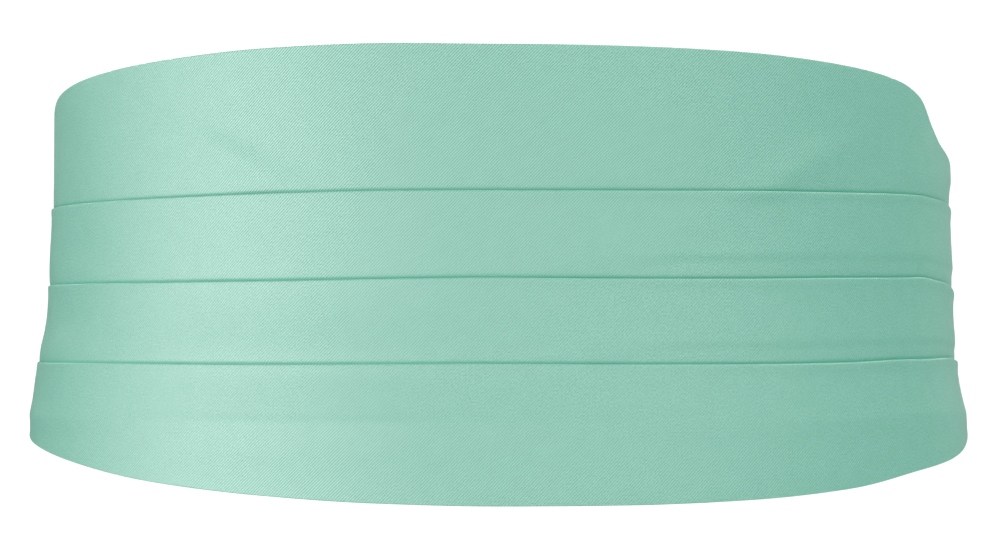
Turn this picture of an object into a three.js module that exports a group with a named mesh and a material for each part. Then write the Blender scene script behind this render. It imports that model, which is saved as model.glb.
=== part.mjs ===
// A cummerbund: a waist sash of four satin pleats that open upwards, fastened as it is worn.
// Millimetres. +Z is up, the pleats face -Y, and the origin is the middle of the waist that it goes round.

import * as THREE from "three";

// The waist inside the sash, an oval in plan
const WAIST_WIDTH = 280;
const WAIST_DEPTH = 229;
// 2 is an ellipse, and a higher value is a squarer oval
const WAIST_SQUARENESS = 2.25;

// The pleated panel
const PANEL_HEIGHT = 127;
const PANEL_END_HEIGHT = 50;
// The length of waist at the back that the panel leaves to the two bands
const BACK_OPENING = 158;
const SATIN_WALL = 1;
// The height over which a pleat comes back in to the waist below the hidden cloth, as a share of the hidden height
const UNDERLAP_EASE = 0.3;
const LAYER_GAP = 0.3;
// How far the lower edge stands out over each hip, and how far above the middle the cloth starts to lean out
const FLARE_LEFT = 7.5;
const FLARE_RIGHT = 5;
const FLARE_START = 20;
// The part of the panel's half length, each way from the front, over which the one flare becomes the other
const FLARE_CHANGE = 0.4;
// The part of the panel's half length that leans out in full, before it eases to the flat ends
const FLARE_KEPT = 0.6;

// The back bands
const BAND_WIDTH = 30;
const BAND_WALL = 1.2;
// How far a band is tucked in behind the end of the panel
const BAND_TUCK = 20;
// The length of band that is turned back and sewn to itself beyond the clasp
const BAND_TURNBACK = 14;

// The clasp, a plain plate with a slot for each band
const CLASP_WIDTH = 36;
const CLASP_THICKNESS = 2;
const CLASP_BAR = 5;
const CLASP_RIM = 4;
const CLASP_CORNER = 3;
const SLOT_CLEARANCE = 0.6;
const BAR_CLEARANCE = 0.3;

// How finely the curves are stepped
const PANEL_STEPS = 86;
const BAND_STEPS = 14;
const CORNER_STEPS = 5;
const OVAL_STEPS = 4000;

// The run of the panel's five lines from the front to the side of the waist, by the wearer's side.
// along is a share of the panel's half length, and the heights are shares of half the panel's height.
const LINES = ["top", "foldOne", "foldTwo", "foldThree", "bottom"];
const LEFT_RUN = [
  { along: 0, top: 1.003, foldOne: 0.372, foldTwo: -0.007, foldThree: -0.379, bottom: -0.99 },
  { along: 0.1, top: 1.01, foldOne: 0.371, foldTwo: -0.013, foldThree: -0.382, bottom: -0.979 },
  { along: 0.2, top: 1.002, foldOne: 0.366, foldTwo: -0.019, foldThree: -0.384, bottom: -0.95 },
  { along: 0.3, top: 0.977, foldOne: 0.36, foldTwo: -0.02, foldThree: -0.383, bottom: -0.903 },
  { along: 0.4, top: 0.942, foldOne: 0.357, foldTwo: -0.017, foldThree: -0.383, bottom: -0.832 },
  { along: 0.46, top: 0.912, foldOne: 0.358, foldTwo: -0.016, foldThree: -0.384, bottom: -0.79 },
  { along: 0.51, top: 0.878, foldOne: 0.36, foldTwo: -0.013, foldThree: -0.384, bottom: -0.757 },
  { along: 0.55, top: 0.825, foldOne: 0.362, foldTwo: -0.012, foldThree: -0.383, bottom: -0.73 },
];
const RIGHT_RUN = [
  { along: 0, top: 1.003, foldOne: 0.372, foldTwo: -0.007, foldThree: -0.379, bottom: -0.99 },
  { along: 0.1, top: 0.998, foldOne: 0.373, foldTwo: -0.01, foldThree: -0.382, bottom: -0.988 },
  { along: 0.2, top: 0.987, foldOne: 0.381, foldTwo: -0.005, foldThree: -0.38, bottom: -0.974 },
  { along: 0.3, top: 0.958, foldOne: 0.388, foldTwo: 0.005, foldThree: -0.374, bottom: -0.937 },
  { along: 0.38, top: 0.912, foldOne: 0.397, foldTwo: 0.013, foldThree: -0.364, bottom: -0.876 },
  { along: 0.42, top: 0.852, foldOne: 0.4, foldTwo: 0.019, foldThree: -0.363, bottom: -0.853 },
  { along: 0.45, top: 0.73, foldOne: 0.392, foldTwo: 0.008, foldThree: -0.359, bottom: -0.834 },
  { along: 0.48, top: 0.638, foldOne: 0.387, foldTwo: -0.001, foldThree: -0.361, bottom: -0.808 },
  { along: 0.55, top: 0.57, foldOne: 0.362, foldTwo: -0.04, foldThree: -0.376, bottom: -0.73 },
];
// The same five lines at the narrow ends, as shares of half the end's height
const END_LINES = { top: 1, foldOne: 0.37, foldTwo: 0, foldThree: -0.37, bottom: -1 };

// The pleats from the top down: the line that each starts at, the line that it shows down to, and
// underlap, the share of its height that the pleat above runs on behind it
const PLEATS = [
  { name: "pleat_top", from: "top", to: "foldOne", underlap: 0 },
  { name: "pleat_upper", from: "foldOne", to: "foldTwo", underlap: 0.7 },
  { name: "pleat_lower", from: "foldTwo", to: "foldThree", underlap: 0.72 },
  { name: "pleat_bottom", from: "foldThree", to: "bottom", underlap: 0.44 },
];

const satin = new THREE.MeshStandardMaterial({ color: 0x7cbcaa, roughness: 0.45, metalness: 0 });
const bandCloth = new THREE.MeshStandardMaterial({ color: 0x74b4a1, roughness: 0.65, metalness: 0 });
const nickel = new THREE.MeshStandardMaterial({ color: 0xc4c8c9, roughness: 0.32, metalness: 1 });

const halfWidth = WAIST_WIDTH / 2;
const halfDepth = WAIST_DEPTH / 2;
const halfHeight = PANEL_HEIGHT / 2;
const halfEndHeight = PANEL_END_HEIGHT / 2;

function smoothstep(from, to, value) {
  const t = Math.min(1, Math.max(0, (value - from) / (to - from)));
  return t * t * (3 - 2 * t);
}

// Points of the right half of the oval from the middle of the front to the middle of the back,
// each with its length of waist from the front
function stepOval() {
  const points = [];
  let length = 0;
  for (let i = 0; i <= OVAL_STEPS; i += 1) {
    const turn = (Math.PI * i) / OVAL_STEPS;
    const power = 2 / WAIST_SQUARENESS;
    const x = halfWidth * Math.pow(Math.max(0, Math.sin(turn)), power);
    const y = -halfDepth * Math.sign(Math.cos(turn)) * Math.pow(Math.abs(Math.cos(turn)), power);
    if (i > 0) {
      length += Math.hypot(x - points[i - 1].x, y - points[i - 1].y);
    }
    points.push({ x, y, length });
  }
  return points;
}

const oval = stepOval();
const halfGirth = oval[OVAL_STEPS].length;
const halfPanel = halfGirth - BACK_OPENING / 2;

// The place on the waist at a length from the middle of the front, positive to +X, and the way out from it
function waistAt(length) {
  const reach = Math.min(halfGirth, Math.abs(length));
  let low = 0;
  let high = OVAL_STEPS;
  while (high - low > 1) {
    const middle = (low + high) >> 1;
    if (oval[middle].length > reach) {
      high = middle;
    } else {
      low = middle;
    }
  }
  const before = oval[low];
  const after = oval[high];
  const share = (reach - before.length) / (after.length - before.length);
  const x = before.x + (after.x - before.x) * share;
  const y = before.y + (after.y - before.y) * share;
  const power = WAIST_SQUARENESS - 1;
  const outX = Math.pow(x / halfWidth, power) / halfWidth;
  const outY = (Math.sign(y) * Math.pow(Math.abs(y) / halfDepth, power)) / halfDepth;
  const size = Math.hypot(outX, outY);
  const side = length < 0 ? -1 : 1;
  return { x: side * x, y, outX: (side * outX) / size, outY: outY / size };
}

function leanOut(along, height) {
  const rightward = smoothstep(-FLARE_CHANGE, FLARE_CHANGE, along);
  const flare = FLARE_LEFT + (FLARE_RIGHT - FLARE_LEFT) * rightward;
  const kept = 1 - smoothstep(FLARE_KEPT, 1, Math.abs(along));
  return flare * kept * smoothstep(FLARE_START, -halfHeight, height);
}

// A smooth curve through a column of rows, with no overshoot between them
function columnAt(rows, column, along) {
  let i = 0;
  while (i < rows.length - 2 && along > rows[i + 1].along) {
    i += 1;
  }
  const slope = (k) => (rows[k + 1][column] - rows[k][column]) / (rows[k + 1].along - rows[k].along);
  const tangent = (k) => {
    if (k === 0) {
      return 0;
    }
    if (k === rows.length - 1) {
      return slope(k - 1);
    }
    const before = slope(k - 1);
    const after = slope(k);
    return before * after <= 0 ? 0 : (2 * before * after) / (before + after);
  };
  const span = rows[i + 1].along - rows[i].along;
  const t = (along - rows[i].along) / span;
  const startWeight = (1 + 2 * t) * (1 - t) * (1 - t);
  const endWeight = t * t * (3 - 2 * t);
  const startPull = t * (1 - t) * (1 - t) * span * tangent(i);
  const endPull = t * t * (t - 1) * span * tangent(i + 1);
  return startWeight * rows[i][column] + endWeight * rows[i + 1][column] + startPull + endPull;
}

// Heights in millimetres of the five lines, with the ends of the panel as the last row
function runInMillimetres(run) {
  const rows = run.map((row) => {
    const heights = { along: row.along };
    LINES.forEach((line) => {
      heights[line] = row[line] * halfHeight;
    });
    return heights;
  });
  const end = { along: 1 };
  LINES.forEach((line) => {
    end[line] = END_LINES[line] * halfEndHeight;
  });
  return [...rows, end];
}

const leftRun = runInMillimetres(LEFT_RUN);
const rightRun = runInMillimetres(RIGHT_RUN);

function lineAt(line, along) {
  return columnAt(along < 0 ? leftRun : rightRun, line, Math.abs(along));
}

function shownAt(pleat, along) {
  return lineAt(pleat.from, along) - lineAt(pleat.to, along);
}

// A pleat's section as points of down, the distance below its fold, and out, the distance from the waist.
// next is the pleat below it, which hides its lower end, and the lowest pleat has none.
function pleatSection(pleat, next, along) {
  const shown = shownAt(pleat, along);
  const lift = pleat.underlap > 0 ? SATIN_WALL + LAYER_GAP : 0;
  const lapped = pleat.underlap * shown;
  const ease = UNDERLAP_EASE * lapped;
  const hidden = next ? next.underlap * shownAt(next, along) - SATIN_WALL : 0;
  const foldRadius = SATIN_WALL / 2;
  const fold = [180, 120, 60, 0].map((degrees) => {
    const angle = THREE.MathUtils.degToRad(degrees);
    return {
      down: foldRadius * (1 - Math.sin(angle)),
      out: lift + foldRadius * (1 + Math.cos(angle)),
    };
  });
  const inner = [
    { down: (lapped + ease + shown) / 2, out: 0 },
    { down: shown, out: 0 },
    { down: shown + hidden + foldRadius, out: 0 },
  ];
  if (pleat.underlap > 0) {
    inner.unshift({ down: lapped, out: lift }, { down: lapped + ease, out: 0 });
  }
  const outer = inner.map((point) => ({ down: point.down, out: point.out + SATIN_WALL }));
  return [...fold, ...outer, ...inner.reverse()];
}

// A closed strip: a ring of section points at each step along the waist, and a flat end at each side
function pleatGeometry(pleat, next) {
  const positions = [];
  const indices = [];
  let ringSize = 0;
  for (let step = 0; step <= PANEL_STEPS; step += 1) {
    const along = (2 * step) / PANEL_STEPS - 1;
    const place = waistAt(along * halfPanel);
    const section = pleatSection(pleat, next, along);
    ringSize = section.length;
    section.forEach((point) => {
      const height = lineAt(pleat.from, along) - point.down;
      const out = point.out + leanOut(along, height);
      positions.push(place.x + place.outX * out, place.y + place.outY * out, height);
    });
  }
  for (let step = 0; step < PANEL_STEPS; step += 1) {
    for (let i = 0; i < ringSize; i += 1) {
      const here = step * ringSize + i;
      const across = step * ringSize + ((i + 1) % ringSize);
      const onward = here + ringSize;
      const opposite = across + ringSize;
      indices.push(here, across, onward, across, opposite, onward);
    }
  }
  [0, PANEL_STEPS].forEach((step) => {
    const along = (2 * step) / PANEL_STEPS - 1;
    const outline = pleatSection(pleat, next, along).map((p) => new THREE.Vector2(p.down, p.out));
    THREE.ShapeUtils.triangulateShape(outline, []).forEach(([a, b, c]) => {
      const ring = step * ringSize;
      const corners = step === 0 ? [ring + a, ring + b, ring + c] : [ring + a, ring + c, ring + b];
      indices.push(...corners);
    });
  });
  const geometry = new THREE.BufferGeometry();
  geometry.setAttribute("position", new THREE.Float32BufferAttribute(positions, 3));
  geometry.setIndex(indices);
  geometry.computeVertexNormals();
  return geometry;
}

// Places in plan of the clasp's plate, which stands level with the two layers of a turned-back band
const claspMiddle = halfDepth - LAYER_GAP - BAND_WALL;
const claspOuter = claspMiddle + CLASP_THICKNESS / 2;
const claspInner = claspMiddle - CLASP_THICKNESS / 2;
const barInnerEnd = CLASP_WIDTH / 2 - CLASP_BAR;
const slotWidth = BAND_WALL + 2 * SLOT_CLEARANCE;
const loopWedge = CLASP_WIDTH / 2 + BAND_TURNBACK / 2;
const turnbackEnd = CLASP_WIDTH / 2 + BAND_TURNBACK;

// A point in plan at a distance from the middle of the back, on the waist's line moved out by an offset
function behind(distance, offset) {
  const place = waistAt(halfGirth - distance);
  return new THREE.Vector2(place.x + place.outX * offset, place.y + place.outY * offset);
}

// A right-hand band in plan: it runs from behind the panel's end to the clasp, round the bar and back on itself
function bandShape() {
  const outer = -LAYER_GAP;
  const inner = outer - BAND_WALL;
  const start = halfGirth - halfPanel + BAND_TUCK;
  const run = start - turnbackEnd;
  const outline = [];
  for (let i = 0; i <= BAND_STEPS; i += 1) {
    outline.push(behind(start - (run * i) / BAND_STEPS, outer));
  }
  const aroundOuter = claspOuter + BAR_CLEARANCE + BAND_WALL;
  const aroundInner = claspInner - BAR_CLEARANCE - BAND_WALL;
  const slotSide = barInnerEnd - SLOT_CLEARANCE;
  const turn = BAND_WALL / 2;
  outline.push(behind(loopWedge, outer));
  outline.push(new THREE.Vector2(CLASP_WIDTH / 2, aroundOuter));
  outline.push(new THREE.Vector2(slotSide - BAND_WALL + turn, aroundOuter));
  outline.push(new THREE.Vector2(slotSide - BAND_WALL, aroundOuter - turn));
  outline.push(new THREE.Vector2(slotSide - BAND_WALL, aroundInner + turn));
  outline.push(new THREE.Vector2(slotSide - BAND_WALL + turn, aroundInner));
  outline.push(new THREE.Vector2(CLASP_WIDTH / 2, aroundInner));
  outline.push(behind(loopWedge, inner - BAND_WALL));
  outline.push(behind(turnbackEnd, inner - BAND_WALL));
  outline.push(behind(turnbackEnd, inner));
  for (let i = BAND_STEPS - 1; i >= 0; i -= 1) {
    outline.push(behind(start - (run * i) / BAND_STEPS, inner));
  }
  const eye = [
    new THREE.Vector2(slotSide, claspInner - BAR_CLEARANCE),
    new THREE.Vector2(slotSide, claspOuter + BAR_CLEARANCE),
    new THREE.Vector2(CLASP_WIDTH / 2 + BAR_CLEARANCE, claspOuter + BAR_CLEARANCE),
    behind(loopWedge, inner),
    new THREE.Vector2(CLASP_WIDTH / 2 + BAR_CLEARANCE, claspInner - BAR_CLEARANCE),
  ];
  const shape = new THREE.Shape(outline);
  shape.holes.push(new THREE.Path(eye));
  return shape;
}

function mirrored(points) {
  return points.map((point) => new THREE.Vector2(-point.x, point.y)).reverse();
}

function bandGeometry(side) {
  const right = bandShape();
  let shape = right;
  if (side < 0) {
    shape = new THREE.Shape(mirrored(right.getPoints()));
    shape.holes.push(new THREE.Path(mirrored(right.holes[0].getPoints())));
  }
  const geometry = new THREE.ExtrudeGeometry(shape, { depth: BAND_WIDTH, bevelEnabled: false });
  geometry.translate(0, 0, -BAND_WIDTH / 2);
  return geometry;
}

// A rectangle round the middle with its four corners rounded, anticlockwise
function roundedRectangle(x, z, radius) {
  const points = [];
  [[1, -1], [1, 1], [-1, 1], [-1, -1]].forEach(([sideX, sideZ], corner) => {
    for (let i = 0; i <= CORNER_STEPS; i += 1) {
      const angle = (Math.PI / 2) * (corner - 1 + i / CORNER_STEPS);
      const centreX = sideX * (x - radius);
      const centreZ = sideZ * (z - radius);
      points.push(new THREE.Vector2(centreX + radius * Math.cos(angle), centreZ + radius * Math.sin(angle)));
    }
  });
  return points;
}

// The plate seen from the back, with a round-ended slot inside each upright bar
function claspShape() {
  const slotRadius = slotWidth / 2;
  const slotHalf = BAND_WIDTH / 2 + SLOT_CLEARANCE + slotRadius;
  const shape = new THREE.Shape(roundedRectangle(CLASP_WIDTH / 2, slotHalf + CLASP_RIM, CLASP_CORNER));
  [-1, 1].forEach((side) => {
    const middle = side * (barInnerEnd - slotRadius);
    const slot = [];
    [1, -1].forEach((end) => {
      for (let i = 0; i <= CORNER_STEPS; i += 1) {
        const angle = (Math.PI * i) / CORNER_STEPS;
        const x = middle + end * slotRadius * Math.cos(angle);
        slot.push(new THREE.Vector2(x, end * (slotHalf - slotRadius + slotRadius * Math.sin(angle))));
      }
    });
    shape.holes.push(new THREE.Path(slot));
  });
  return shape;
}

function claspGeometry() {
  const geometry = new THREE.ExtrudeGeometry(claspShape(), { depth: CLASP_THICKNESS, bevelEnabled: false });
  geometry.rotateX(Math.PI / 2);
  geometry.translate(0, claspOuter, 0);
  return geometry;
}

function named(name, geometry, material) {
  const mesh = new THREE.Mesh(geometry, material);
  mesh.name = name;
  return mesh;
}

const cummerbund = new THREE.Group();
cummerbund.name = "cummerbund";

const panel = new THREE.Group();
panel.name = "panel";
PLEATS.forEach((pleat, i) => {
  panel.add(named(pleat.name, pleatGeometry(pleat, PLEATS[i + 1]), satin));
});
cummerbund.add(panel);

const fastening = new THREE.Group();
fastening.name = "fastening";
fastening.add(named("band_left", bandGeometry(-1), bandCloth));
fastening.add(named("band_right", bandGeometry(1), bandCloth));
fastening.add(named("clasp", claspGeometry(), nickel));
cummerbund.add(fastening);

export default cummerbund;
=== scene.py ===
import math

import bmesh
import bpy
import numpy as np
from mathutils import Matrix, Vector


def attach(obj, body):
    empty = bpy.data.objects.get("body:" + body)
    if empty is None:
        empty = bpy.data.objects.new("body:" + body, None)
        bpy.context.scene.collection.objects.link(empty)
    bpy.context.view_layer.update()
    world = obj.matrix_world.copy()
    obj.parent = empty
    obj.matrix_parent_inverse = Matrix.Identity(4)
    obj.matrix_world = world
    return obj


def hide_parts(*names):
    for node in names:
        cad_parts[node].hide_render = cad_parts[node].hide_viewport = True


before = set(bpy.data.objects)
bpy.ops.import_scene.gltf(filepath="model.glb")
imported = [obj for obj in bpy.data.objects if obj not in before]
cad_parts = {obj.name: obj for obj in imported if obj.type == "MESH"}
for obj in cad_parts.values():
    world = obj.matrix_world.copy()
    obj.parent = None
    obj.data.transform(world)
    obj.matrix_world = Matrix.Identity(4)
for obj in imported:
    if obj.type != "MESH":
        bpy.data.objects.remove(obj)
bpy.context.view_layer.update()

# The pleated panel
#
# Four lengths of satin, each folded along its upper edge and laid over the lower part of the one above,
# so that the pleats open upwards. The outer edges are turned in, and the whole is pressed flat and
# bent round the waist, where its lower edge leans out over the hips.

WAIST_WIDTH = 0.280
WAIST_DEPTH = 0.229
# 2 is an ellipse, and a higher value is a squarer oval
WAIST_SQUARENESS = 2.25
PANEL_HEIGHT = 0.127
PANEL_END_HEIGHT = 0.050
# The length of waist at the back that the panel leaves to the two bands
BACK_OPENING = 0.158
SATIN = 0.0002
# How far the middle of each layer of satin lies out from the waist: the turned hem, the cloth that runs on
# behind a pleat, the back of a pleat's fold, and its face there
HEM_LAYER = 0.00033
INNER_LAYER = 0.00055
RETURN_LAYER = 0.00077
OUTER_LAYER = 0.00099
HEM = 0.012
# The height of the roll where the cloth turns over at a fold, and how much further out it bows there,
# on the left and on the right
FOLD_ROLL = (0.00032, 0.00055)
FOLD_BOW = (0.00016, 0.00034)
FOLD_BOW_REACH = 0.0020
# How far in the cloth is drawn where it goes behind the next fold, and over what height: sharply at the
# fold, and softly above it, more so on the right
TUCK_DEPTH = 0.00024
TUCK_REACH = 0.0006
EASE_DEPTH = (0.00008, 0.00012)
EASE_REACH = 0.0019
# How near to the next fold the colour is mixed with the painted shade of the fold
FOLD_SHADE_REACH = 0.0006
# How wide a line the end of the hidden cloth presses through the face
RIDGE_WIDTH = 0.0012
PANEL_STEPS = 420
OVAL_STEPS = 8000

# The run of the five lines from the front to the side of the waist, as shares of half the panel's height,
# by the share of the panel's half length that they lie along
LINES = ("top", "fold_one", "fold_two", "fold_three", "bottom")
LEFT_RUN = np.array([
    # along, top, fold_one, fold_two, fold_three, bottom
    (0.00, 1.003, 0.3666, -0.0122, -0.3843, -0.990),
    (0.10, 1.010, 0.3662, -0.0174, -0.3864, -0.979),
    (0.20, 1.002, 0.3612, -0.0234, -0.3884, -0.950),
    (0.30, 0.977, 0.3552, -0.0244, -0.3874, -0.903),
    (0.40, 0.942, 0.3522, -0.0214, -0.3874, -0.832),
    (0.46, 0.912, 0.3532, -0.0204, -0.3884, -0.790),
    (0.51, 0.878, 0.3552, -0.0174, -0.3884, -0.757),
    (0.55, 0.825, 0.3572, -0.0164, -0.3874, -0.730),
])
RIGHT_RUN = np.array([
    (0.00, 1.003, 0.3658, -0.013, -0.385, -0.990),
    (0.10, 0.998, 0.3668, -0.016, -0.388, -0.988),
    (0.20, 0.987, 0.3723, -0.0135, -0.3885, -0.974),
    (0.30, 0.958, 0.3793, -0.0035, -0.3825, -0.937),
    (0.38, 0.912, 0.388, 0.0045, -0.3705, -0.876),
    (0.42, 0.852, 0.391, 0.0105, -0.3695, -0.853),
    (0.45, 0.730, 0.383, -0.0005, -0.3655, -0.834),
    (0.48, 0.638, 0.378, -0.0095, -0.3675, -0.808),
    (0.55, 0.570, 0.353, -0.0485, -0.3825, -0.730),
])
# The same lines at the narrow ends, as shares of half the end's height
END_LINES = np.array([1, 0.37, 0, -0.37, -1])

# How far the cloth stands out from the waist over each hip, in millimetres, by height in millimetres
LEFT_LEAN = np.array([
    (-64, 9.0), (-52, 8.1), (-45, 7.3), (-40, 6.9), (-35, 6.1), (-30, 5.5), (-25, 4.7), (-20, 3.9),
    (-15, 2.8), (-10, 2.1), (-5, 1.8), (0, 1.6), (10, 1.2), (17, 0.8), (24, 0.6), (32, 0.5), (64, 0.4),
])
RIGHT_LEAN = np.array([
    (-64, 6.8), (-52, 6.3), (-45, 5.7), (-40, 4.9), (-35, 3.7), (-30, 2.7), (-23, 1.9), (-16, 1.5),
    (-10, 1.1), (2, 1.0), (14, 0.5), (22, 0.3), (27, 0.45), (32, 1.0), (36, 0.9), (64, 0.8),
])
# The same without its small waves, for the front: by height, on the left and on the right
FRONT_LEAN = np.array([
    (-64, 9.2, 6.9), (-45, 7.1, 5.3), (-25, 4.3, 2.5), (-5, 1.9, 1.0), (20, 0.8, 0.6), (64, 0.4, 0.7),
])
# The shares of the half length between which the front's lean becomes the hip's
WAVES_FROM, WAVES_FULL = 0.34, 0.50
# The part of the panel's half length, each way from the front, over which one hip's lean becomes the other's
LEAN_CHANGE = 0.4
# The part of the half length that leans out in full, before it eases to the flat ends
LEAN_KEPT = 0.6

# Soft dents and swells in the cloth, in millimetres: place along, height, reach along and across, turn in
# degrees, and rise
DENTS = np.array([
    (-156, 42, 14, 5, 0, -0.35), (-158, 20, 12, 4, 0, 0.30), (-138, 9, 16, 5, 0, -0.45),
    (-140, -12, 15, 5, 0, -0.40), (-160, -29, 12, 5, 0, -0.25), (-160, -43, 12, 4, 0, 0.35),
    (-77, 33, 20, 4.5, -27, 0.52), (84, 30, 24, 5, 24, 0.85), (128, 9, 5, 3, 0, 0.25),
    (135, 4, 5, 3, 0, -0.22), (150, 45, 9, 8, 0, -0.35), (118, 40, 16, 12, 0, -0.30),
])


def smoothstep(start, end, value):
    """3t^2 - 2t^3, where t goes from 0 at start to 1 at end and is held there outside."""
    t = np.clip((value - start) / (end - start), 0, 1)
    return t * t * (3 - 2 * t)


def waist_oval():
    """The right half of the oval from front to back: x = a sin(t)^(2/n) and y = -b cos(t)^(2/n),
    signed, with the length of waist from the front as a running sum of its short steps."""
    turn = np.linspace(0, math.pi, OVAL_STEPS + 1)
    power = 2 / WAIST_SQUARENESS
    x = WAIST_WIDTH / 2 * np.clip(np.sin(turn), 0, 1) ** power
    y = -WAIST_DEPTH / 2 * np.sign(np.cos(turn)) * np.abs(np.cos(turn)) ** power
    length = np.concatenate([[0], np.cumsum(np.hypot(np.diff(x), np.diff(y)))])
    return x, y, length


oval_x, oval_y, oval_length = waist_oval()
half_girth = oval_length[-1]
half_panel = half_girth - BACK_OPENING / 2


def round_the_waist(length, out, height):
    """Points of cloth: the oval's point at that length from the front, positive to +X, moved outwards along
    the oval's normal, which is (|x/a|^(n-1)/a, |y/b|^(n-1)/b) with the signs of x and y, and up to the height."""
    length, out, height = np.broadcast_arrays(length, out, height)
    reach = np.minimum(np.abs(length), half_girth)
    x = np.interp(reach, oval_length, oval_x)
    y = np.interp(reach, oval_length, oval_y)
    a, b, power = WAIST_WIDTH / 2, WAIST_DEPTH / 2, WAIST_SQUARENESS - 1
    out_x = np.abs(x / a) ** power / a
    out_y = np.sign(y) * np.abs(y / b) ** power / b
    size = np.hypot(out_x, out_y)
    side = np.where(length < 0, -1, 1)
    return np.stack([side * (x + out_x / size * out), y + out_y / size * out, height], axis=-1)


def through_rows(rows, values, along):
    """A cubic Hermite curve through rows of values. The tangent at each inner row is the harmonic mean of the
    slopes on both sides, or 0 where they differ in sign, so the curve never overshoots."""
    slope = np.diff(values) / np.diff(rows)
    before, after = slope[:-1], slope[1:]
    same_way = before * after > 0
    inner = np.where(same_way, 2 * before * after / np.where(same_way, before + after, 1), 0)
    tangent = np.concatenate([[0], inner, [slope[-1]]])
    i = np.clip(np.searchsorted(rows, along, side="right") - 1, 0, len(rows) - 2)
    span = rows[i + 1] - rows[i]
    t = (along - rows[i]) / span
    return ((1 + 2 * t) * (1 - t) ** 2 * values[i] + t * t * (3 - 2 * t) * values[i + 1]
            + t * (1 - t) ** 2 * span * tangent[i] + t * t * (t - 1) * span * tangent[i + 1])


def line_height(line, along):
    """The height of one of the five lines: a smooth curve through its column of the left or right run,
    which ends at that line's share of the narrow end."""
    column = LINES.index(line)
    end = END_LINES[column] * PANEL_END_HEIGHT / 2
    heights = []
    for run in (LEFT_RUN, RIGHT_RUN):
        rows = np.append(run[:, 0], 1)
        values = np.append(run[:, 1 + column] * PANEL_HEIGHT / 2, end)
        heights.append(through_rows(rows, values, np.abs(along)))
    return np.where(along < 0, heights[0], heights[1])


def lean_out(along, height):
    """How far the cloth stands out: each hip's column of leans by height, blended from left to right by a
    smoothstep across the front, and eased to nothing towards the ends, plus the dents as bell curves."""
    mm = height * 1000
    level = np.clip(mm, -64, 64)
    waves = smoothstep(WAVES_FROM, WAVES_FULL, np.abs(along))
    sides = []
    for column, table in ((1, LEFT_LEAN), (2, RIGHT_LEAN)):
        front = through_rows(FRONT_LEAN[:, 0], FRONT_LEAN[:, column], level)
        sides.append(front + (through_rows(table[:, 0], table[:, 1], level) - front) * waves)
    left, right = sides
    rightward = smoothstep(-LEAN_CHANGE, LEAN_CHANGE, along)
    kept = 1 - smoothstep(LEAN_KEPT, 1, np.abs(along))
    lean = (left + (right - left) * rightward) * kept
    place = along * half_panel * 1000
    for middle, dent_height, reach, reach_across, turn, rise in DENTS:
        cos, sin = math.cos(math.radians(turn)), math.sin(math.radians(turn))
        run = (place - middle) * cos + (mm - dent_height) * sin
        across = (mm - dent_height) * cos - (place - middle) * sin
        lean = lean + rise * np.exp(-(run / reach) ** 2 - (across / reach_across) ** 2)
    return lean / 1000


def ripple(along, height):
    """The slight unevenness of hand-laid cloth: four slow waves that cross each other, in metres. Each is
    size * sin(a * place + b * height + start)."""
    place = along * half_panel * 1000
    mm = height * 1000
    waves = ((0.050, 0.043, 0.061, 0.3), (0.040, -0.081, 0.037, 1.9), (0.030, 0.135, 0.092, 4.0),
             (0.022, -0.190, 0.150, 2.6))
    return sum(size * np.sin(a * place + b * mm + start) for size, a, b, start in waves) / 1000


def tucked_in(away, ease, next_lap):
    """How far in the cloth is drawn at a distance from the next fold: two bell curves, each
    depth * exp(-(distance / reach)^2)."""
    drawn = TUCK_DEPTH * np.exp(-(away / TUCK_REACH) ** 2) + ease * np.exp(-(away / EASE_REACH) ** 2)
    return drawn * (next_lap > 0)


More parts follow.
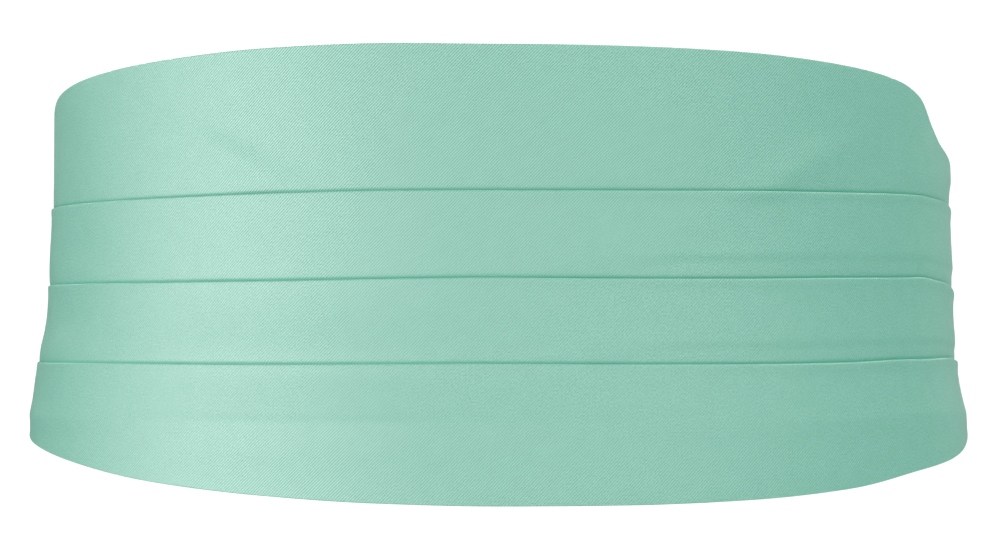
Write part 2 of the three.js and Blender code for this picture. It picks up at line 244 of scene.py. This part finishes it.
def pleat_path(shown, lap, next_lap, roll, bow, ease, settling, ridge, folded_under):
    """The way of the cloth across a pleat, for each step along it: the distance down from its upper fold, the
    layer that it lies at, the length of cloth from that fold, negative behind it, and how deep it is in the
    next fold, which is exp(-(distance / reach)^2) and sets how much painted fold shade its colour takes. The
    cloth comes up behind, turns over in half an ellipse, shows down its face and runs on behind the next pleat."""
    over = np.linspace(0, 1, 9)[None, :]
    shown, lap, next_lap, roll, bow, ease, settling = (
        column[:, None] for column in (shown, lap, next_lap, roll, bow, ease, settling))
    behind, front = (HEM_LAYER, INNER_LAYER) if folded_under else (RETURN_LAYER, OUTER_LAYER)
    hidden_radius = (RETURN_LAYER - INNER_LAYER) / 2
    radius = (front + bow - behind) / 2
    down, out = [], []
    if not folded_under:
        # The half circle at the bottom of the hidden fold, from the cloth of the pleat above
        down.append(lap + hidden_radius * np.sin(math.pi * over))
        out.append(INNER_LAYER + hidden_radius * (1 - np.cos(math.pi * over)) + 0 * lap)
    start = np.where(lap > 0, lap, HEM)
    down.append(start + (roll - start) * np.linspace(0.05, 1, 6)[None, :])
    out.append(behind + 0 * down[-1])
    down.append(roll - roll * np.sin(math.pi * over[:, 1:-1]) + 0 * lap)
    out.append(behind + radius - radius * np.cos(math.pi * over[:, 1:-1]) + 0 * lap)
    face = (1 - np.cos(math.pi * np.linspace(0, 1, 60)[None, :])) / 2
    down.append(roll + (shown - roll) * face)
    settle = 0 if folded_under else smoothstep(lap, lap + settling, down[-1])
    pressed = ridge * np.exp(-((down[-1] - lap) / RIDGE_WIDTH) ** 2)
    bowed = bow * np.exp(-((down[-1] - roll) / FOLD_BOW_REACH) ** 2)
    out.append(front + (INNER_LAYER - front) * settle + pressed + bowed
               - tucked_in(shown - down[-1], ease, next_lap))
    if np.all(next_lap > 0):
        behind_next = next_lap * np.linspace(0.02, 0.985, 9)[None, :]
        down.append(shown + behind_next)
        out.append(INNER_LAYER - tucked_in(behind_next, ease, next_lap))
    else:
        # The lower edge turned in and up
        edge_radius = (INNER_LAYER - HEM_LAYER) / 2
        down.append(shown + edge_radius * np.sin(math.pi * over[:, 1:]))
        out.append(HEM_LAYER + edge_radius + edge_radius * np.cos(math.pi * over[:, 1:]) + 0 * lap)
        down.append(shown - HEM * np.linspace(0.12, 1, 6)[None, :])
        out.append(HEM_LAYER + 0 * down[-1])
    down, out = np.concatenate(down, axis=1), np.concatenate(out, axis=1)
    steps = np.hypot(np.diff(down, axis=1), np.diff(out, axis=1))
    cloth = np.concatenate([0 * shown, np.cumsum(steps, axis=1)], axis=1)
    top = np.argmin(down[0])
    # How much of the fold's painted shade the colour takes here
    depth = np.exp(-((down - shown) / FOLD_SHADE_REACH) ** 2) * (next_lap > 0)
    return down, out, cloth - cloth[:, top:top + 1], depth


def grid_piece(name, points, maps, material, closed=False):
    """A surface of quads over a grid of points, rows by columns, with its own maps by name. A closed one
    joins its last column to its first and has flat ends."""
    rows, columns = points.shape[:2]
    index = np.arange(rows * columns).reshape(rows, columns)
    onward = np.roll(index, -1, axis=1) if closed else index[:, 1:]
    here = index if closed else index[:, :-1]
    quads = np.stack([here[:-1], here[1:], onward[1:], onward[:-1]], axis=-1).reshape(-1, 4)
    mesh = bpy.data.meshes.new(name)
    ends = [index[0].tolist(), index[-1][::-1].tolist()] if closed else []
    mesh.from_pydata(points.reshape(-1, 3), [], quads.tolist() + ends)
    corners = np.empty(len(mesh.loops), dtype=np.int32)
    mesh.loops.foreach_get("vertex_index", corners)
    for label, values in maps.items():
        layer = mesh.uv_layers.new(name=label)
        layer.data.foreach_set("uv", values.reshape(-1, 2)[corners].ravel().astype(np.float32))
    mesh.shade_smooth()
    mesh.materials.append(material)
    piece = bpy.data.objects.new(name, mesh)
    bpy.context.scene.collection.objects.link(piece)
    return piece


# One unit of the cloth's map is this many metres of cloth
MAP_SIZE = 0.7
# The twill's lines are this many millimetres apart
TWILL_PERIOD = 0.617
TWILL_ANGLE = math.radians(43.5)
TWILL_RELIEF = 0.000022
# A wave texture of scale 1 repeats over this length
WAVE_UNIT = 0.31416
SATIN_DYE = (0.166, 0.456, 0.349, 1)
# The painted shade of a fold: a cleaner, more saturated green that the colour is mixed towards near each fold,
# where shade falls. The painted sheen and shade of the twill: how far the colour is made paler on the yarns'
# tops, as if lit, and darker in the gaps between them, as if shaded; the yarn's uneven tone is scaled by it too
FOLD_PAINTED_SHADE = (0.108, 0.630, 0.440, 1)
YARN_TONE_AND_TWILL_SHEEN = (0.24, 0.375, 0.345)


def add_node(tree, kind, values=(), **settings):
    """A node of that kind, with its settings and the values or links of its inputs by name or number."""
    node = tree.nodes.new(kind)
    for name, value in settings.items():
        setattr(node, name, value)
    for key, value in dict(values).items():
        if isinstance(value, bpy.types.NodeSocket):
            tree.links.new(value, node.inputs[key])
        else:
            node.inputs[key].default_value = value
    return node


def new_material(name):
    material = bpy.data.materials.new(name)
    material.use_nodes = True
    material.node_tree.nodes.clear()
    return material, material.node_tree


def millimetres_of_cloth(tree):
    """The cloth's own map, scaled so that 1 is one millimetre."""
    cloth = add_node(tree, "ShaderNodeUVMap", uv_map="cloth")
    return add_node(tree, "ShaderNodeVectorMath", {0: cloth.outputs[0], "Scale": MAP_SIZE * 1000},
                    operation="SCALE").outputs[0]


# How strongly the twill's painted sheen and shade and its relief show, most where the broad shine falls: by
# height, and by place along the panel, in millimetres
TWILL_SHOWN_UP = ((-64, 0.66), (-50, 0.62), (-35, 0.36), (-15, 0.47), (5, 0.58), (30, 0.85), (64, 0.92))
TWILL_SHOWN_ALONG = ((-150, 0.90), (-115, 0.60), (-90, 0.66), (-70, 1.0), (-48, 1.0), (-27, 0.70), (0, 0.66),
                 (43, 0.52), (66, 0.60), (91, 0.56), (117, 0.45), (150, 0.42))


def by_table(tree, value, table):
    """The value in the table at that many millimetres, by straight lines between its rows."""
    first, last = table[0][0], table[-1][0]
    part = add_node(tree, "ShaderNodeMapRange", {
        "Value": value, "From Min": MAP_SIZE * 500 + first, "From Max": MAP_SIZE * 500 + last})
    ramp = add_node(tree, "ShaderNodeValToRGB", {"Fac": part.outputs[0]})
    stops = ramp.color_ramp.elements
    while len(stops) < len(table):
        stops.new(0.5)
    for stop, (place, level) in zip(stops, table):
        stop.position = (place - first) / (last - first)
        stop.color = (level, level, level, 1)
    return ramp.outputs[0]


def satin_material(name, right_side):
    """Satin twill: raised diagonal lines with uneven yarn and a soft broad gloss, the yarns' tops painted paler
    and the gaps darker as painted sheen and shade, and painted shade near each fold. Its wrong side is duller
    and has no painted fold shade.
    """
    material, tree = new_material(name)
    place = millimetres_of_cloth(tree)
    across = add_node(tree, "ShaderNodeMapping", {"Vector": place, "Rotation": (0, 0, TWILL_ANGLE)})
    twill = add_node(tree, "ShaderNodeTexWave", {
        "Vector": across.outputs[0], "Scale": WAVE_UNIT / TWILL_PERIOD, "Distortion": 0.9,
        "Detail": 2.0, "Detail Scale": 0.6}, bands_direction="X").outputs["Fac"]
    yarn = add_node(tree, "ShaderNodeTexNoise", {
        "Vector": place, "Scale": 1.9, "Detail": 2.0, "Roughness": 0.6}).outputs["Fac"]
    mottle = add_node(tree, "ShaderNodeTexNoise", {
        "Vector": place, "Scale": 0.22, "Detail": 2.0, "Roughness": 0.55}).outputs["Fac"]
    sides = add_node(tree, "ShaderNodeSeparateXYZ", {0: place})
    # How strongly the twill's painted sheen and shade show here
    crisp = add_node(tree, "ShaderNodeMath", {
        0: by_table(tree, sides.outputs["Y"], TWILL_SHOWN_UP),
        1: by_table(tree, sides.outputs["X"], TWILL_SHOWN_ALONG)}, operation="MULTIPLY").outputs[0]
    twill = add_node(tree, "ShaderNodeMath", {0: twill, 1: -0.5}, operation="ADD").outputs[0]
    twill = add_node(tree, "ShaderNodeMath", {0: twill, 1: crisp}, operation="MULTIPLY").outputs[0]
    # Painted sheen and shade: the yarns' tops are made paler than the dye, as if lit, and the gaps between them
    # darker, as if shaded, by a share of this colour, to which uneven yarn and mottling add
    tone = add_node(tree, "ShaderNodeMath", {0: twill, 1: 1.0, 2: -0.46}, operation="MULTIPLY_ADD").outputs[0]
    for fac, share in ((yarn, 0.80), (mottle, 0.12)):
        tone = add_node(tree, "ShaderNodeMath", {0: fac, 1: share, 2: tone}, operation="MULTIPLY_ADD").outputs[0]
    dye = add_node(tree, "ShaderNodeRGB")
    dye.outputs[0].default_value = SATIN_DYE
    shade = add_node(tree, "ShaderNodeVectorMath", {0: YARN_TONE_AND_TWILL_SHEEN, "Scale": tone}, operation="SCALE")
    shade = add_node(tree, "ShaderNodeVectorMath", {0: shade.outputs[0], 1: dye.outputs[0]}, operation="ADD")
    # Painted shade: near each fold the colour is mixed towards the painted shade colour of the fold
    depth = add_node(tree, "ShaderNodeSeparateXYZ", {
        0: add_node(tree, "ShaderNodeUVMap", uv_map="depth").outputs[0]}).outputs["X"]
    fold_shade_colour = FOLD_PAINTED_SHADE if right_side else SATIN_DYE
    shade = add_node(tree, "ShaderNodeMix", {
        "Factor": depth, 6: shade.outputs[0], 7: fold_shade_colour}, data_type="RGBA").outputs[2]
    relief = add_node(tree, "ShaderNodeMath", {0: yarn, 1: 0.12, 2: twill}, operation="MULTIPLY_ADD").outputs[0]
    bump = add_node(tree, "ShaderNodeBump", {"Height": relief, "Strength": 1.0, "Distance": TWILL_RELIEF})
    shader = add_node(tree, "ShaderNodeBsdfPrincipled", {
        "Base Color": shade, "Roughness": 0.46 if right_side else 0.60, "Specular IOR Level": 0.4,
        "Sheen Weight": 0.02, "Sheen Roughness": 0.4, "Normal": bump.outputs[0]})
    add_node(tree, "ShaderNodeOutputMaterial", {"Surface": shader.outputs[0]})
    return material


satin = satin_material("satin_twill", True)
satin_wrong_side = satin_material("satin_wrong_side", False)

# Steps along the panel, closer at the two ends so that the cut edges stay crisp
steps_along = np.concatenate([[-1, -0.9992], np.linspace(-0.998, 0.998, PANEL_STEPS), [0.9992, 1]])

# The pleats from the top down: the lines that each shows between; the share of its height that the pleat
# above runs on behind it, and at most what height; the height over which it then settles in, on the left
# and on the right; and how far the end of the hidden cloth presses through it
PLEATS = (
    ("pleat_top", "top", "fold_one", 0, 1, (0, 0), 0),
    ("pleat_upper", "fold_one", "fold_two", 0.69, 1, (0.013, 0.0034), 0),
    ("pleat_lower", "fold_two", "fold_three", 0.71, 1, (0.013, 0.0033), 0),
    ("pleat_bottom", "fold_three", "bottom", 0.72, 0.0158, (0.009, 0.009), 0.00010),
)
# From 0 on the left to 1 on the right, for the folds and for how the faces are pressed
rightward = smoothstep(-0.05, 0.3, steps_along)
pressed_right = smoothstep(0.0, 0.17, steps_along)
for order, (node, upper, lower, lap_share, lap_limit, settling, ridge) in enumerate(PLEATS):
    top_line = line_height(upper, steps_along)
    shown = top_line - line_height(lower, steps_along)
    lap = np.minimum(shown * lap_share, lap_limit)
    settling = settling[0] + (settling[1] - settling[0]) * pressed_right
    settling = settling * np.minimum(1, shown / shown.max() * 1.1)
    next_lap = 0 * shown
    if order + 1 < len(PLEATS):
        _, next_upper, next_lower, next_share, next_limit, _, _ = PLEATS[order + 1]
        next_shown = line_height(next_upper, steps_along) - line_height(next_lower, steps_along)
        next_lap = np.minimum(next_shown * next_share, next_limit)
    roll, bow, ease = (
        left + (right - left) * rightward for left, right in (FOLD_ROLL, FOLD_BOW, EASE_DEPTH))
    outermost = order == 0
    if outermost:
        roll, bow = roll / 2, 0 * bow
    down, layer, cloth, depth = pleat_path(
        shown, lap, next_lap, roll, bow, ease, settling, ridge, outermost)
    along = steps_along[:, None] + 0 * down
    height = top_line[:, None] - down
    out = layer + lean_out(along, height) + ripple(along, height)
    points = round_the_waist(along * half_panel, out, height)
    cloth_map = np.stack([along * half_panel / MAP_SIZE + 0.5,
                          (top_line[:, None] - cloth) / MAP_SIZE + 0.5], axis=-1)
    # The depth map says how much painted fold shade each point's colour takes.
    # Turned over so that the right side of the satin is the outer one
    maps = {"cloth": cloth_map[:, ::-1], "depth": np.stack([depth, depth], axis=-1)[:, ::-1]}
    pleat = grid_piece("satin_" + node, points[:, ::-1], maps, satin)
    wall = pleat.modifiers.new("cloth", "SOLIDIFY")
    wall.thickness = SATIN
    wall.offset = 0
    wall.use_even_offset = True
    pleat.data.materials.append(satin_wrong_side)
    wall.material_offset = 1
    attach(pleat, "root")
    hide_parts(node)

# The two back bands
#
# Ribbed ribbon woven with rounded edges, one sewn behind each narrow end of the panel. Each passes through
# a slot of the clasp and round its outer bar, and is turned back and sewn to itself.

BAND_WIDTH = 0.030
BAND_THICKNESS = 0.00105
BAND_LAYER = -0.0009
BAND_TURNED_LAYER = -0.0021
# Distances along the waist from the middle of the back
BAND_START = 0.099
BAND_PARTS = 0.025
BAND_END = 0.032
RIB_PITCH = 0.0011
RIB_RISE = 0.00005
STEPS_PER_RIB = 6
BAR_OUTSIDE = 0.018
BAR_INSIDE = 0.013
PLATE_MIDDLE = 0.113
PLATE_THICKNESS = 0.002


def band_line():
    """The right band's middle line in plan: along the waist at its layer, round the bar and back at the inner
    layer. Its corners are cut three times, each time to the points a quarter and three quarters along."""
    outward = np.arange(BAND_START, BAND_PARTS, -0.002)
    inward = np.linspace(BAND_PARTS, BAND_END, 4)
    clear = PLATE_THICKNESS / 2 + 0.0009
    slot = BAR_INSIDE - 0.0012
    round_bar = np.array([(BAR_OUTSIDE, PLATE_MIDDLE + clear), (slot, PLATE_MIDDLE + clear),
                          (slot, PLATE_MIDDLE - clear), (BAR_OUTSIDE, PLATE_MIDDLE - clear)])
    line = np.concatenate([
        round_the_waist(half_girth - outward, BAND_LAYER, 0)[:, :2], round_bar,
        round_the_waist(half_girth - inward, BAND_TURNED_LAYER, 0)[:, :2]])
    for _ in range(3):
        quarter = 0.75 * line[:-1] + 0.25 * line[1:]
        three_quarters = 0.25 * line[:-1] + 0.75 * line[1:]
        cut = np.stack([quarter, three_quarters], axis=1).reshape(-1, 2)
        line = np.concatenate([line[:1], cut, line[-1:]])
    return line


def ribbon(line, width, thickness):
    """A ribbon along a line in plan. Its section is a flat oval whose two long faces are half the thickness
    from the line, and which the ribs thicken by rise * cos(2 pi length / pitch), with a map of its cloth."""
    length = np.concatenate([[0], np.cumsum(np.hypot(*np.diff(line, axis=0).T))])
    ribs = int(length[-1] / RIB_PITCH)
    place = np.linspace(0, ribs * RIB_PITCH, ribs * STEPS_PER_RIB + 1)
    x, y = np.interp(place, length, line[:, 0]), np.interp(place, length, line[:, 1])
    towards = np.stack([np.gradient(x, place), np.gradient(y, place)], axis=-1)
    towards /= np.linalg.norm(towards, axis=1)[:, None]
    side = np.stack([-towards[:, 1], towards[:, 0]], axis=-1)
    round_edge = np.linspace(-math.pi / 2, math.pi / 2, 7)
    radius = thickness / 2
    face = np.linspace(-1, 1, 14)[1:-1] * (width / 2 - radius)
    across = np.concatenate([width / 2 - radius + radius * np.cos(round_edge), face[::-1],
                             radius - width / 2 - radius * np.cos(round_edge), face])
    out = np.concatenate([radius * np.sin(round_edge), radius + 0 * face,
                          -radius * np.sin(round_edge), 0 * face - radius])
    rib = RIB_RISE * np.cos(2 * math.pi * place / RIB_PITCH)[:, None] * np.sign(out) * (np.abs(out) > radius / 2)
    stand_out = out + rib
    points = np.stack([x[:, None] + side[:, :1] * stand_out, y[:, None] + side[:, 1:] * stand_out,
                       across[None, :] + 0 * stand_out], axis=-1)
    cloth_map = np.stack([place[:, None] / MAP_SIZE + 0 * stand_out,
                          (across / MAP_SIZE + 0.5)[None, :] + 0 * stand_out], axis=-1)
    return points, cloth_map


def band_material():
    """Matte ribbon: painted shade between the ribs, with fine warp lines along it and uneven yarn."""
    material, tree = new_material("ribbed_band")
    place = millimetres_of_cloth(tree)
    warp = add_node(tree, "ShaderNodeTexWave", {
        "Vector": place, "Scale": WAVE_UNIT / 0.34, "Distortion": 0.6, "Detail": 2.0},
        bands_direction="Y").outputs["Fac"]
    # Painted shade: the colour is made darker between the ribs
    rib = add_node(tree, "ShaderNodeTexWave", {
        "Vector": place, "Scale": WAVE_UNIT / (RIB_PITCH * 1000), "Phase Offset": math.pi / 2},
        bands_direction="X").outputs["Fac"]
    yarn = add_node(tree, "ShaderNodeTexNoise", {"Vector": place, "Scale": 1.6, "Detail": 3.0}).outputs["Fac"]
    tone = add_node(tree, "ShaderNodeMath", {0: warp, 1: 0.16, 2: 0.52}, operation="MULTIPLY_ADD").outputs[0]
    for fac, share in ((rib, 0.16), (yarn, 0.45)):
        tone = add_node(tree, "ShaderNodeMath", {0: fac, 1: share, 2: tone}, operation="MULTIPLY_ADD").outputs[0]
    dye = add_node(tree, "ShaderNodeRGB")
    dye.outputs[0].default_value = (0.155, 0.425, 0.325, 1)
    shade = add_node(tree, "ShaderNodeVectorMath", {0: dye.outputs[0], "Scale": tone}, operation="SCALE")
    relief = add_node(tree, "ShaderNodeMath", {0: yarn, 1: 0.5, 2: warp}, operation="MULTIPLY_ADD").outputs[0]
    bump = add_node(tree, "ShaderNodeBump", {"Height": relief, "Strength": 1.0, "Distance": 0.00004})
    shader = add_node(tree, "ShaderNodeBsdfPrincipled", {
        "Base Color": shade.outputs[0], "Roughness": 0.68, "Specular IOR Level": 0.35,
        "Sheen Weight": 0.25, "Sheen Roughness": 0.5, "Normal": bump.outputs[0]})
    add_node(tree, "ShaderNodeOutputMaterial", {"Surface": shader.outputs[0]})
    return material


band_cloth = band_material()
band_points, band_map = ribbon(band_line(), BAND_WIDTH, BAND_THICKNESS)
for node, side in (("band_left", -1), ("band_right", 1)):
    # Mirroring turns the faces about, so the left band's columns run the other way
    mirrored = (band_points * (side, 1, 1))[:, ::-side]
    maps = {"cloth": band_map[:, ::-side]}
    band = grid_piece("ribbed_" + node, mirrored, maps, band_cloth, closed=True)
    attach(band, "root")
    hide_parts(node)

# The clasp
#
# A flat plate stamped from sheet metal, its edges tumbled round and plated in satin nickel, with a slot
# for each band inside its two upright bars.

EDGE_ROUNDING = 0.00045


def metal_material():
    """Satin nickel: fine lines brushed along the plate and slight clouding of the plating."""
    material, tree = new_material("satin_nickel")
    place = add_node(tree, "ShaderNodeTexCoord").outputs["Object"]
    stretched = add_node(tree, "ShaderNodeMapping", {"Vector": place, "Scale": (120, 4000, 4000)}).outputs[0]
    brushed = add_node(tree, "ShaderNodeTexNoise", {
        "Vector": stretched, "Scale": 1.0, "Detail": 2.0}).outputs["Fac"]
    cloud = add_node(tree, "ShaderNodeTexNoise", {
        "Vector": place, "Scale": 120.0, "Detail": 3.0}).outputs["Fac"]
    tone = add_node(tree, "ShaderNodeMath", {0: brushed, 1: 0.16, 2: 0.80}, operation="MULTIPLY_ADD").outputs[0]
    tone = add_node(tree, "ShaderNodeMath", {0: cloud, 1: 0.14, 2: tone}, operation="MULTIPLY_ADD").outputs[0]
    plating = add_node(tree, "ShaderNodeRGB")
    plating.outputs[0].default_value = (0.60, 0.605, 0.61, 1)
    shade = add_node(tree, "ShaderNodeVectorMath", {0: plating.outputs[0], "Scale": tone}, operation="SCALE")
    bump = add_node(tree, "ShaderNodeBump", {"Height": brushed, "Strength": 0.6, "Distance": 0.00001})
    shader = add_node(tree, "ShaderNodeBsdfPrincipled", {
        "Base Color": shade.outputs[0], "Metallic": 0.7, "Roughness": 0.34, "Normal": bump.outputs[0]})
    add_node(tree, "ShaderNodeOutputMaterial", {"Surface": shader.outputs[0]})
    return material


plate_mesh = bpy.data.objects["clasp"].data.copy()
plate_mesh.name = "nickel_clasp"
welded = bmesh.new()
welded.from_mesh(plate_mesh)
bmesh.ops.remove_doubles(welded, verts=welded.verts, dist=1e-6)
bmesh.ops.dissolve_limit(welded, angle_limit=math.radians(1), verts=welded.verts, edges=welded.edges)
welded.to_mesh(plate_mesh)
welded.free()
plate_mesh.materials.clear()
plate_mesh.materials.append(metal_material())
plate_mesh.shade_smooth()
plate = bpy.data.objects.new("nickel_clasp", plate_mesh)
bpy.context.scene.collection.objects.link(plate)
rounding = plate.modifiers.new("tumbled_edges", "BEVEL")
rounding.width = EDGE_ROUNDING
rounding.segments = 3
rounding.limit_method = "ANGLE"
rounding.angle_limit = math.radians(40)
rounding.harden_normals = True
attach(plate, "root")
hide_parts("clasp")

# The stitching
#
# Rows of lockstitch in thread of the cloth's colour: one down each end of the panel, which closes the end and
# holds the band in it, and one across each turned-back band, seen on both of its faces.

THREAD = 0.00026
STITCH = 0.0022
STITCH_PITCH = 0.0028
PANEL_ROW_INSET = 0.0045
PANEL_ROW_SPARE = 0.0022
TURNBACK_ROW = 0.0292
TURNBACK_ROW_SPARE = 0.0020
STITCH_ROUND = 8
STITCH_STEPS = 7


def stitches(name, middles, downward, outward, material):
    """One mesh of equal stitches at the middles. A stitch is a bow of thread with round ends: at the angle a
    from its one end to the other, its middle line is -cos(a) half stitches down and sin(a) half threads out,
    and its radius is sin(a)^0.35 half threads."""
    a = np.linspace(0.04, math.pi - 0.04, STITCH_STEPS)[:, None]
    b = np.arange(STITCH_ROUND)[None, :] * 2 * math.pi / STITCH_ROUND
    thick = np.sin(a) ** 0.35 * THREAD / 2
    down = -np.cos(a) * STITCH / 2 + 0 * b
    out = np.sin(a) * THREAD / 2 + thick * np.cos(b)
    aside = thick * np.sin(b)
    sideways = np.cross(downward, outward)
    points = (middles[:, None, None, :] + down[None, :, :, None] * downward[:, None, None, :]
              + out[None, :, :, None] * outward[:, None, None, :]
              + aside[None, :, :, None] * sideways[:, None, None, :])
    count = STITCH_STEPS * STITCH_ROUND
    index = np.arange(count).reshape(STITCH_STEPS, STITCH_ROUND)
    onward = np.roll(index, -1, axis=1)
    quads = np.stack([index[:-1], index[1:], onward[1:], onward[:-1]], axis=-1).reshape(-1, 4)
    start = (np.arange(len(middles)) * count)[:, None, None]
    quads = (start + quads[None]).reshape(-1, 4)
    caps = (start + np.stack([index[0], index[-1][::-1]])[None]).reshape(-1, STITCH_ROUND)
    mesh = bpy.data.meshes.new(name)
    mesh.from_pydata(points.reshape(-1, 3), [], quads.tolist() + caps.tolist())
    mesh.shade_smooth()
    mesh.materials.append(material)
    piece = bpy.data.objects.new(name, mesh)
    bpy.context.scene.collection.objects.link(piece)
    return piece


def stitch_row(distance, offset, height, facing):
    """Middles, downward and outward ways of a row of stitches down the waist at that distance from the middle
    of the back, on the face that lies at the offset and faces out (1) or in (-1)."""
    count = int(height / STITCH_PITCH)
    level = (np.arange(count) - (count - 1) / 2) * STITCH_PITCH
    middles = round_the_waist(half_girth - distance, offset, level)
    outward = (round_the_waist(half_girth - distance, offset + 0.001, level) - middles) / 0.001 * facing
    downward = np.tile([0.0, 0.0, -1.0], (count, 1))
    return middles, downward, outward


def thread_material():
    """Twisted thread: slanting light and dark plies and a soft shine."""
    material, tree = new_material("sewing_thread")
    place = add_node(tree, "ShaderNodeTexCoord").outputs["Object"]
    turned = add_node(tree, "ShaderNodeMapping", {"Vector": place, "Rotation": (0.6, 0.5, 0.0)}).outputs[0]
    plies = add_node(tree, "ShaderNodeTexWave", {
        "Vector": turned, "Scale": 900.0}, bands_direction="Z").outputs["Fac"]
    tone = add_node(tree, "ShaderNodeMath", {0: plies, 1: 0.35, 2: 0.80}, operation="MULTIPLY_ADD").outputs[0]
    dye = add_node(tree, "ShaderNodeRGB")
    dye.outputs[0].default_value = (0.185, 0.490, 0.380, 1)
    shade = add_node(tree, "ShaderNodeVectorMath", {0: dye.outputs[0], "Scale": tone}, operation="SCALE")
    shader = add_node(tree, "ShaderNodeBsdfPrincipled", {
        "Base Color": shade.outputs[0], "Roughness": 0.45, "Specular IOR Level": 0.6, "Sheen Weight": 0.2})
    add_node(tree, "ShaderNodeOutputMaterial", {"Surface": shader.outputs[0]})
    return material


thread = thread_material()
panel_end = BACK_OPENING / 2 + PANEL_ROW_INSET
panel_row = stitch_row(panel_end, OUTER_LAYER + SATIN / 2, PANEL_END_HEIGHT - PANEL_ROW_SPARE, 1)
turnback_height = BAND_WIDTH - TURNBACK_ROW_SPARE
outer_row = stitch_row(TURNBACK_ROW, BAND_LAYER + BAND_THICKNESS / 2, turnback_height, 1)
inner_row = stitch_row(TURNBACK_ROW, BAND_TURNED_LAYER - BAND_THICKNESS / 2, turnback_height, -1)
for name, rows, slot in (("panel_end", (panel_row,), "satin"),
                         ("turned_back", (outer_row, inner_row), "band_cloth")):
    middles, downward, outward = (np.concatenate(parts) for parts in zip(*rows))
    for side, mirror in (("left", (-1, 1, 1)), ("right", (1, 1, 1))):
        row = stitches("stitches_" + name + "_" + side, middles * mirror, downward, outward * mirror, thread)
        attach(row, "root")

# Floor, light and camera
#
# A pale floor and white surroundings, a ring of soft lights, strips above it and one light overhead. The
# brightest, in front on the left, give the satin its broad shine.

floor_mesh = bpy.data.meshes.new("floor")
floor_mesh.from_pydata(
    [(-20, -20, -0.3), (20, -20, -0.3), (20, 20, -0.3), (-20, 20, -0.3)], [], [(0, 1, 2, 3)])
floor = bpy.data.objects.new("floor", floor_mesh)
bpy.context.scene.collection.objects.link(floor)
floor_material, floor_tree = new_material("floor_paint")
floor_shader = add_node(floor_tree, "ShaderNodeBsdfPrincipled", {
    "Base Color": (0.82, 0.82, 0.82, 1), "Roughness": 0.9, "Specular IOR Level": 0.0})
add_node(floor_tree, "ShaderNodeOutputMaterial", {"Surface": floor_shader.outputs[0]})
floor_mesh.materials.append(floor_material)
floor.visible_glossy = False

world = bpy.data.worlds.new("studio")
bpy.context.scene.world = world
world.use_nodes = True
sky = world.node_tree
sky.nodes.clear()
# The light that the cloth takes from each way: more from the left, from behind and from above
way = add_node(sky, "ShaderNodeSeparateXYZ", {0: add_node(sky, "ShaderNodeTexCoord").outputs["Generated"]})
bright = add_node(sky, "ShaderNodeMath", {
    0: way.outputs["X"], 1: -0.22, 2: 0.73}, operation="MULTIPLY_ADD").outputs[0]
above = add_node(sky, "ShaderNodeMath", {
    0: way.outputs["X"], 1: 0.5, 2: 0.6}, operation="MULTIPLY_ADD").outputs[0]
for axis, limit, share in (("X", "MINIMUM", -0.3), ("Y", "MAXIMUM", 0.8), ("Z", "MAXIMUM", above)):
    part = add_node(sky, "ShaderNodeMath", {0: way.outputs[axis], 1: 0}, operation=limit).outputs[0]
    bright = add_node(sky, "ShaderNodeMath", {0: part, 1: share, 2: bright}, operation="MULTIPLY_ADD").outputs[0]
rays = add_node(sky, "ShaderNodeLightPath")
strength = add_node(sky, "ShaderNodeMix", {
    "Factor": rays.outputs["Is Camera Ray"], 2: bright, 3: 1.1}, data_type="FLOAT")
studio = add_node(sky, "ShaderNodeBackground", {"Color": (1, 1, 1, 1), "Strength": strength.outputs[0]})
add_node(sky, "ShaderNodeOutputWorld", {"Surface": studio.outputs[0]})
world.cycles_visibility.glossy = False

# The lights that shine in the satin: from and to what angle round the object in degrees, with 0 in front
# and negative to the left, from and to what height in metres, and how bright
LIGHTS = (
    (-194, -166, -0.6, 0.35, 1.6),
    (-180, -140, 0.35, 1.2, 2.2),
    (-140, -105, 0.35, 1.2, 2.6),
    (-105, -85, -0.6, 0.8, 1.6),
    (-85, -68, -0.6, 0.55, 5.6),
    (-68, -50, -0.6, 0.40, 11.0),
    (-50, -32, -0.6, 0.40, 12.4),
    (-32, -18, -0.6, 0.40, 8.6),
    (-18, 8, -0.6, 0.45, 4.7),
    (8, 40, -0.6, 0.45, 3.9),
    (40, 62, -0.6, 0.45, 1.8),
    (62, 85, -0.6, 0.5, 0.4),
    (85, 135, 0.35, 1.2, 1.2),
    (135, 180, 0.35, 1.2, 3.0),
    (115, 165, -0.6, 0.35, 0.35),
    (15, 60, 0.8, 1.6, 4.6),
    (60, 110, 0.8, 1.6, 4.6),
)
LIGHT_DISTANCE = 1.3
OVERHEAD = 4.2


def soft_light(name, place, size, brightness):
    """A flat light that faces the object. Its power is 4 times its area for a brightness of 1."""
    data = bpy.data.lights.new(name, "AREA")
    data.shape = "RECTANGLE"
    data.size, data.size_y = size
    data.energy = 4 * brightness * size[0] * size[1]
    light = bpy.data.objects.new(name, data)
    light.location = place
    light.rotation_euler = (-Vector(place)).to_track_quat("-Z", "Y").to_euler()
    light.visible_camera = False
    light.visible_diffuse = False
    data.cycles.use_multiple_importance_sampling = False
    bpy.context.scene.collection.objects.link(light)


for start, end, low, high, brightness in LIGHTS:
    middle, half = math.radians((start + end) / 2), math.radians((end - start) / 2)
    place = (LIGHT_DISTANCE * math.sin(middle), -LIGHT_DISTANCE * math.cos(middle), (low + high) / 2)
    soft_light("ring", place, (2 * LIGHT_DISTANCE * math.tan(half), high - low), brightness)
soft_light("overhead", (0.1, -0.2, 1.3), (1.6, 1.2), OVERHEAD)

camera_data = bpy.data.cameras.new("camera")
camera_data.sensor_width = 36
camera_data.lens = 91.87
camera_data.clip_start, camera_data.clip_end = 0.01, 100
camera = bpy.data.objects.new("camera", camera_data)
camera.location = (-0.0005, -0.817, -0.0188)
camera.rotation_euler = (math.radians(90 + 1.535), 0, 0)
bpy.context.scene.collection.objects.link(camera)
bpy.context.scene.camera = camera
bpy.context.scene.view_settings.view_transform = "Standard"
